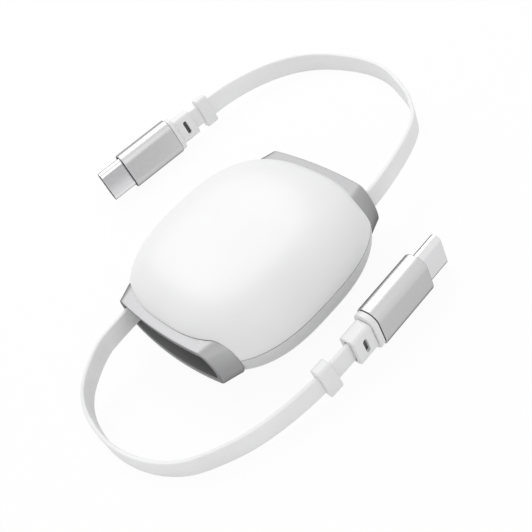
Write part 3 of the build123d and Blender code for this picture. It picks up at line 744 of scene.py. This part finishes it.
def makePlug(end, plug):
    name = end.capitalize()
    here = plugFrame(plug)
    f = plugForms
    pieces = []
    long, wide, thick, corner = sleeve["length"], sleeve["width"], sleeve["thickness"], sleeve["corner"]
    wall = sleeve["wall"]

    stations = ringStations(0, -long, wide, thick, corner, f["sleeveLip"], f["edge"])
    inside = corner - wall
    deep, shallow, walls, wider = f["sleeveMouth"]
    stations += [
        (-long, wide - 2 * wall, thick - 2 * wall, inside),
        (-deep, wide - 2 * wall, thick - 2 * wall, inside),
        (-shallow, wide - walls * wall, thick - walls * wall, inside + wider),
    ]
    pieces.append(addPiece("plugSleeve" + name, barMesh("plugSleeve", here, stations, 12),
                           "sleeveMetal", ["plug_sleeve_" + end]))

    wide, thick, wall = f["tipWidth"], f["tipThickness"], f["tipWall"]
    front, back = f["tipLength"], -f["tipAnchor"]
    deep, shallow, walls, halfWalls = f["tipMouth"]
    stations = ringStations(front, back, wide, thick, thick / 2, f["edge"], f["tipBackEdge"])
    stations += [
        (back, wide - 2 * wall, thick - 2 * wall, thick / 2 - wall),
        (front - deep, wide - 2 * wall, thick - 2 * wall, thick / 2 - wall),
        (front - shallow, wide - walls * wall, thick - walls * wall, thick / 2 - halfWalls * wall),
    ]
    pieces.append(addPiece("plugTip" + name, barMesh("plugTip", here, stations, 12),
                           "tipSteel", ["plug_tip_" + end]))

    ringFront = -sleeve["length"]
    ringBack = ringFront - cable["ringLength"]
    neckBack = ringBack - cable["neckLength"]
    inset = f["ringInset"]
    ringSize = (sleeve["width"] - 2 * inset, sleeve["thickness"] - 2 * inset, sleeve["corner"] - inset)
    slit, pocket = f["slit"], f["pocket"]
    pocketFront = ringBack - cable["crimpDepth"]
    pocketBack = pocketFront - f["crimpLength"] - f["pocketSpare"]
    groove = f["groove"]
    sleeveDepth, neckDepth = f["grooveDepth"], f["neckGroove"]
    besideSleeve = [size - 2 * sleeveDepth for size in ringSize[:2]] + [ringSize[2] - sleeveDepth]
    besideNeck = (
        f["neckWidth"] - 2 * neckDepth, f["neckThickness"] - 2 * neckDepth, f["neckCorner"] - neckDepth,
    )
    stations = [
        (ringFront, *f["plugged"]), (ringFront, *besideSleeve), (ringFront - groove, *besideSleeve),
    ]
    stations += ringStations(ringFront - groove, ringBack, *ringSize, f["edge"], f["ringBackEdge"])
    stations += [(ringBack, *besideNeck), (ringBack - groove, *besideNeck)]
    stations += ringStations(ringBack - groove, neckBack, f["neckWidth"], f["neckThickness"],
                             f["neckCorner"], *f["neckEdges"])
    stations += [(neckBack, *slit), (pocketBack, *slit), (pocketBack, *pocket), (pocketFront, *pocket),
                 (pocketFront, *f["plugged"])]
    neckMesh = barMesh("plugNeck", here, stations, 10)
    origin, forward, widthWay, topWay = here
    middle = origin + forward * (pocketFront - f["crimpLength"] / 2)
    slot = []
    windowCorner = f["windowWidth"] / 2 * f["windowRound"]
    for u, v in roundedLoop(f["windowLength"], f["windowWidth"], windowCorner, 8):
        slot.append(middle + widthWay * u + forward * v)
    cutter = meshFromLoops("windowCutter", [
        [(p + topWay * lift) * mm for p in slot] for lift in f["windowReach"]
    ])
    neckMesh = cutMesh(neckMesh, [cutter])
    tidyMesh(neckMesh)
    pieces.append(addPiece("plugNeck" + name, neckMesh, "plugWhite", ["plug_neck_" + end]))

    bandStart = cable["neckLength"] - cable["crimpDepth"] + plug["bandGap"]
    centre, tangent = placeAt(lines[end], bandStart)
    bandWay, bandTop = stripFrame(tangent, math.radians(90 - plug["roll"]), level=False)
    bandFrame = (centre / mm, tangent, -bandWay, bandTop)
    bandBack, slack = -cable["bandLength"], f["bandSlack"]
    stations = ringStations(0, bandBack, f["bandWidth"], f["bandThickness"], f["bandCorner"],
                            f["bandEdge"], f["bandEdge"])
    opening = (cable["width"] + slack, cable["thickness"] + slack, f["bandSlitCorner"])
    stations += [(bandBack, *opening), (0, *opening)]
    pieces.append(addPiece("stopBand" + name, barMesh("stopBand", bandFrame, stations, 10),
                           "plugWhite", ["stop_band_" + end]))
    return pieces


plugPieces = {end: makePlug(end, plug) for end, plug in plugPlaces.items()}
print("plugs made")


# what repeats: the screws under the housing and the contacts in the tips
def repeatTree(name, material):
    tree = bpy.data.node_groups.new(name, "GeometryNodeTree")
    face = tree.interface
    face.new_socket(name="Geometry", in_out="INPUT", socket_type="NodeSocketGeometry")
    face.new_socket(name="Piece", in_out="INPUT", socket_type="NodeSocketObject")
    for label in ("Columns", "Rows"):
        face.new_socket(name=label, in_out="INPUT", socket_type="NodeSocketInt")
    for label in ("Length", "Depth"):
        face.new_socket(name=label, in_out="INPUT", socket_type="NodeSocketFloat")
    face.new_socket(name="Geometry", in_out="OUTPUT", socket_type="NodeSocketGeometry")
    start = tree.nodes.new("NodeGroupInput")
    end = tree.nodes.new("NodeGroupOutput")
    grid = tree.nodes.new("GeometryNodeMeshGrid")
    source = tree.nodes.new("GeometryNodeObjectInfo")
    spots = tree.nodes.new("GeometryNodeInstanceOnPoints")
    real = tree.nodes.new("GeometryNodeRealizeInstances")
    paint = tree.nodes.new("GeometryNodeSetMaterial")
    paint.inputs["Material"].default_value = material
    join = tree.links.new
    join(start.outputs["Length"], grid.inputs["Size X"])
    join(start.outputs["Depth"], grid.inputs["Size Y"])
    join(start.outputs["Columns"], grid.inputs["Vertices X"])
    join(start.outputs["Rows"], grid.inputs["Vertices Y"])
    join(start.outputs["Piece"], source.inputs["Object"])
    join(grid.outputs["Mesh"], spots.inputs["Points"])
    join(source.outputs["Geometry"], spots.inputs["Instance"])
    join(spots.outputs["Instances"], real.inputs["Geometry"])
    join(real.outputs["Geometry"], paint.inputs["Geometry"])
    join(paint.outputs["Geometry"], end.inputs["Geometry"])
    return tree


def repeatPiece(name, pieceMesh, finish, columns, rows, length, depth):
    sample = bpy.data.objects.new("sample", pieceMesh)
    bpy.context.scene.collection.objects.link(sample)
    holder = bpy.data.objects.new("repeatHolder", bpy.data.meshes.new("empty"))
    bpy.context.scene.collection.objects.link(holder)
    tree = repeatTree(name + "Layout", finishes[finish])
    modifier = holder.modifiers.new("layout", "NODES")
    modifier.node_group = tree
    values = {"Piece": sample, "Columns": columns, "Rows": rows, "Length": length * mm, "Depth": depth * mm}
    for item in tree.interface.items_tree:
        if item.in_out == "INPUT" and item.name in values:
            modifier[item.identifier] = values[item.name]
    mesh = bakedMesh(holder)
    mesh.name = name
    bpy.data.objects.remove(holder, do_unlink=True)
    bpy.data.objects.remove(sample, do_unlink=True)
    return mesh


def straightLoops(section, heights):
    return [[Vector((u, v, height)) * mm for u, v in section] for height in heights]


def screwMesh():
    steps = screws["steps"]
    loops = [roundLoop((0, 0), radius, height, steps) for radius, height in screws["profile"]]
    cutters = []
    for wide, deep in (screws["recess"], screws["recess"][::-1]):
        section = roundedLoop(wide, deep, screws["recessCorner"], 2)
        cutters.append(meshFromLoops("recess", straightLoops(section, screws["recessHeights"])))
    mesh = cutMesh(meshFromLoops("screwForm", loops), cutters)
    tidyMesh(mesh)
    return mesh


screwRow = repeatPiece("housingScrews", screwMesh(), "innerSteel", 2, 2,
                       screws["spacingX"], screws["spacingY"])
screwRow.transform(Matrix.Translation((0, 0, screws["seat"] * mm)))
tidyMesh(screwRow)
addPiece("housingScrews", screwRow, "innerSteel", ["housing_screws"])

contact = {
    "length": 4.2, "width": 0.26, "thickness": 0.12, "corner": 0.04, "end": 0.06, "setback": 0.9,
    "pitch": 0.5, "count": 12, "slotHeight": 0.9,
}
for end, plug in plugPlaces.items():
    section = roundedLoop(contact["width"], contact["thickness"], contact["corner"], 3)
    heights = (0, -contact["end"], contact["end"] - contact["length"], -contact["length"])
    strip = meshFromLoops("contactForm", straightLoops(section, heights))
    rowGap = contact["slotHeight"] - contact["thickness"]
    contacts = repeatPiece("plugContacts", strip, "contactGold", contact["count"], 2,
                           contact["pitch"] * (contact["count"] - 1), rowGap)
    origin, forward, widthWay, topWay = plugFrame(plug)
    turned = Matrix((widthWay, topWay, forward)).transposed().to_4x4()
    start = origin + forward * (plugForms["tipLength"] - contact["setback"])
    contacts.transform(Matrix.Translation(start * mm) @ turned)
    tidyMesh(contacts)
    plugPieces[end].append(addPiece("plugContacts" + end.capitalize(), contacts, "contactGold",
                                    ["plug_contacts_" + end]))
print("screws and contacts laid out")


# the CAD nodes that stay get their finish
keptFinishes = {
    "guide_post": "innerSteel", "reel_axle": "innerSteel",
    "spool": "reelWhite", "spring_cover": "innerSteel", "wound_cable": "coilWhite",
    "power_spring": "innerSteel", "ratchet_pawl": "reelWhite", "pawl_pin": "innerSteel",
    "pawl_spring": "innerSteel", "plug_insert": "insertBlack", "plug_core": "plugGrey",
    "plug_board": "boardGreen", "cable_crimp": "plugGrey",
}
for nodeName, node in cadNodes.items():
    for start, finish in keptFinishes.items():
        if nodeName.startswith(start):
            for slotIndex in range(len(node.material_slots)):
                node.material_slots[slotIndex].material = finishes[finish]


# floor, world and lamps
studio = {
    "floorSeen": 0.94, "floorBounce": 0.85, "showWhite": 0.93, "world": 0.66,
    "key": 1.75, "keySize": 0.5, "keyPlace": (0.12, 0.4, 0.5),
    "side": 0.6, "sideSize": 0.6, "sidePlace": (-0.15, -0.48, 0.42), "aim": (0, 0, 0),
    "floorSize": 3.0, "floorHeight": -0.00002, "floorRough": 0.9, "floorGloss": 0.1,
}


def whiteForCamera(tree):
    path = tree.nodes.new("ShaderNodeLightPath")
    first = tree.nodes.new("ShaderNodeMath")
    first.operation = "MAXIMUM"
    second = tree.nodes.new("ShaderNodeMath")
    second.operation = "MAXIMUM"
    tree.links.new(path.outputs["Is Camera Ray"], first.inputs[0])
    tree.links.new(path.outputs["Is Glossy Ray"], first.inputs[1])
    tree.links.new(first.outputs[0], second.inputs[0])
    tree.links.new(path.outputs["Is Transmission Ray"], second.inputs[1])
    return second.outputs[0]


def addFloor():
    mesh = bpy.data.meshes.new("floor")
    size, height = studio["floorSize"], studio["floorHeight"]
    corners = [(x * size, y * size, height) for x, y in ((-1, -1), (1, -1), (1, 1), (-1, 1))]
    mesh.from_pydata(corners, [], [(0, 1, 2, 3)])
    floor = bpy.data.objects.new("floor", mesh)
    bpy.context.scene.collection.objects.link(floor)
    material, tree, shader = newMaterial("paleFloor")
    path = tree.nodes.new("ShaderNodeLightPath")
    tone = tree.nodes.new("ShaderNodeMix")
    tone.data_type = "RGBA"
    tone.inputs["A"].default_value = (studio["floorBounce"],) * 3 + (1,)
    tone.inputs["B"].default_value = (studio["floorSeen"],) * 3 + (1,)
    tree.links.new(path.outputs["Is Camera Ray"], tone.inputs["Factor"])
    tree.links.new(tone.outputs["Result"], shader.inputs["Base Color"])
    shader.inputs["Roughness"].default_value = studio["floorRough"]
    shader.inputs["Specular IOR Level"].default_value = studio["floorGloss"]
    glow = tree.nodes.new("ShaderNodeEmission")
    mix = tree.nodes.new("ShaderNodeMixShader")
    share = tree.nodes.new("ShaderNodeMath")
    share.operation = "MULTIPLY"
    share.inputs[1].default_value = studio["showWhite"]
    tree.links.new(whiteForCamera(tree), share.inputs[0])
    tree.links.new(share.outputs[0], mix.inputs["Fac"])
    tree.links.new(shader.outputs[0], mix.inputs[1])
    tree.links.new(glow.outputs[0], mix.inputs[2])
    tree.links.new(mix.outputs[0], tree.nodes["Material Output"].inputs["Surface"])
    mesh.materials.append(material)


def addWorld():
    world = bpy.data.worlds.new("studioWorld")
    world.use_nodes = True
    tree = world.node_tree
    light = tree.nodes["Background"]
    light.inputs["Strength"].default_value = studio["world"]
    light.inputs["Color"].default_value = (1, 1, 1, 1)
    shown = tree.nodes.new("ShaderNodeBackground")
    shown.inputs["Color"].default_value = (1, 1, 1, 1)
    mix = tree.nodes.new("ShaderNodeMixShader")
    tree.links.new(whiteForCamera(tree), mix.inputs["Fac"])
    tree.links.new(light.outputs[0], mix.inputs[1])
    tree.links.new(shown.outputs[0], mix.inputs[2])
    tree.links.new(mix.outputs[0], tree.nodes["World Output"].inputs["Surface"])
    bpy.context.scene.world = world


def addLamp(name, place, target, size, power):
    lampData = bpy.data.lights.new(name, "AREA")
    lampData.size = size
    lampData.energy = power
    lamp = bpy.data.objects.new(name, lampData)
    bpy.context.scene.collection.objects.link(lamp)
    lamp.location = place
    lamp.rotation_euler = (Vector(target) - Vector(place)).to_track_quat("-Z", "Y").to_euler()


addFloor()
addWorld()
addLamp("keyLamp", studio["keyPlace"], studio["aim"], studio["keySize"], studio["key"])
addLamp("sideLamp", studio["sidePlace"], studio["aim"], studio["sideSize"], studio["side"])
bpy.context.scene.view_settings.view_transform = "Standard"
print("studio set")
